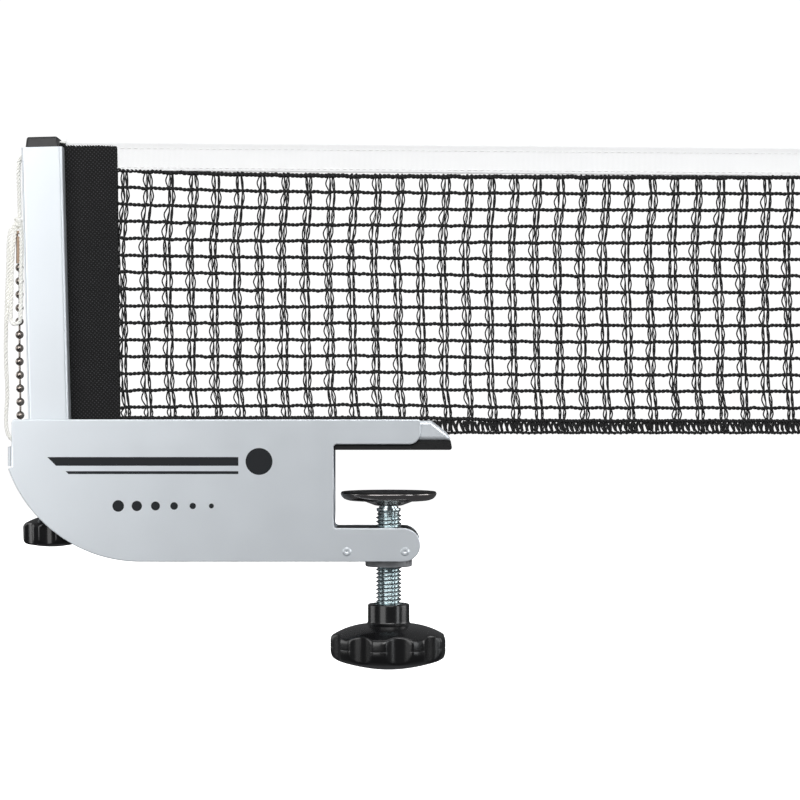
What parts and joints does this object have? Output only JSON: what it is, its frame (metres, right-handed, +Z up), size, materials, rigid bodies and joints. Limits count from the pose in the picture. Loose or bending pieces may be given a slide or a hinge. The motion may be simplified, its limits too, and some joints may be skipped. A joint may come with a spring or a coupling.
{
  "type": "table tennis net clamp",
  "caption": "Clamp-on table tennis net post: folded sheet bracket with screw clamp, square post with height slider, woven sleeve, and the near end of the net with its tape, cord and ball chain.",
  "frame": {"origin": "on the jaw pad's underside, which is the table top, at the table's side edge (the back of the clamp's throat), in the net's middle plane", "axes": "+X runs over the table along the net, +Z up, -Y is the front, seen in the picture"},
  "size_m": [0.4001, 0.0569, 0.2604],
  "materials": {
    "powder_coat": "satin powder coat",
    "jaw_rubber": "matte",
    "socket_plastic": "matte",
    "bush_plastic": "matte",
    "nut_block_plastic": "satin",
    "zinc_steel": "bright zinc",
    "knob_plastic": "gloss",
    "cap_plastic": "satin",
    "brass": "machined",
    "sleeve_fabric": "woven",
    "tape_fabric": "woven",
    "cord_fabric": "laid rope",
    "net_fabric": "knitted",
    "ball_chain": "nickel plate",
    "clasp_metal": "plated",
    "dish_chrome": "chrome plate"
  },
  "bodies": {
    "bracket": {"bracket_shell": "powder_coat", "jaw_channel": "powder_coat", "jaw_pad": "jaw_rubber", "post_socket": "socket_plastic", "post_tube": "powder_coat", "chain_catch": "zinc_steel", "spindle_bearing": "bush_plastic", "nut_block": "nut_block_plastic", "clamp_nut": "zinc_steel", "nut_block_rivets": "powder_coat", "tail_knot": "cord_fabric"},
    "height_knob": {"height_knob": "knob_plastic", "height_spindle": "zinc_steel", "spindle_clip": "zinc_steel"},
    "height_slider": {"slider_core": "cap_plastic", "slider_cap": "cap_plastic", "slider_nut": "brass", "head_cord": "cord_fabric"},
    "net": {"keder_rod": "bush_plastic", "net_sleeve": "sleeve_fabric", "head_tape": "tape_fabric", "net_mesh": "net_fabric"},
    "tension_chain": {"chain_beads": "ball_chain", "chain_links": "ball_chain", "chain_clasp": "clasp_metal", "cord_knot": "cord_fabric", "cord_drop": "cord_fabric", "cord_loop": "cord_fabric", "cord_tail": "cord_fabric"},
    "screw_carriage": {"thrust_washer": "zinc_steel"},
    "clamp_screw": {"clamp_screw": "zinc_steel", "knob_insert": "zinc_steel", "clamp_knob": "knob_plastic"},
    "pressure_disc": {"pressure_dish": "dish_chrome", "pressure_pad": "jaw_rubber"}
  },
  "joints": [
    {"name": "screw_travel", "type": "slide", "parent": "bracket", "child": "screw_carriage", "axis": [0, 0, 1], "range_m": [-0.01, 0.018]},
    {"name": "screw_turn", "type": "hinge", "parent": "screw_carriage", "child": "clamp_screw", "pos_m": [0.0265, 0, -0.06], "axis": [0, 0, 1], "range_deg": [-1840, 3310]},
    {"name": "disc_tilt", "type": "hinge", "parent": "screw_carriage", "child": "pressure_disc", "pos_m": [0.0265, 0, -0.027], "axis": [0, 1, 0], "range_deg": [-3, 3]},
    {"name": "height_turn", "type": "hinge", "parent": "bracket", "child": "height_knob", "pos_m": [-0.1385, 0, 0], "axis": [-0.0251, 0, 0.9997], "range_deg": [-2245, 445]},
    {"name": "height_slide", "type": "slide", "parent": "bracket", "child": "height_slider", "axis": [-0.0251, 0, 0.9997], "range_m": [-0.001, 0.005]},
    {"name": "net_lift", "type": "slide", "parent": "bracket", "child": "net", "axis": [-0.0251, 0, 0.9997], "range_m": [-0.001, 0.005]},
    {"name": "chain_pull", "type": "slide", "parent": "bracket", "child": "tension_chain", "axis": [0, 0, 1], "range_m": [-0.01314, 0], "deforming": ["cord_drop", "cord_tail"]}
  ],
  "couplings": [
    {"joint": "screw_travel", "follows": "screw_turn", "m_per_rad": 0.00031099},
    {"joint": "height_slide", "follows": "height_turn", "m_per_rad": -0.00012732},
    {"joint": "net_lift", "follows": "height_turn", "m_per_rad": -0.00012732}
  ]
}
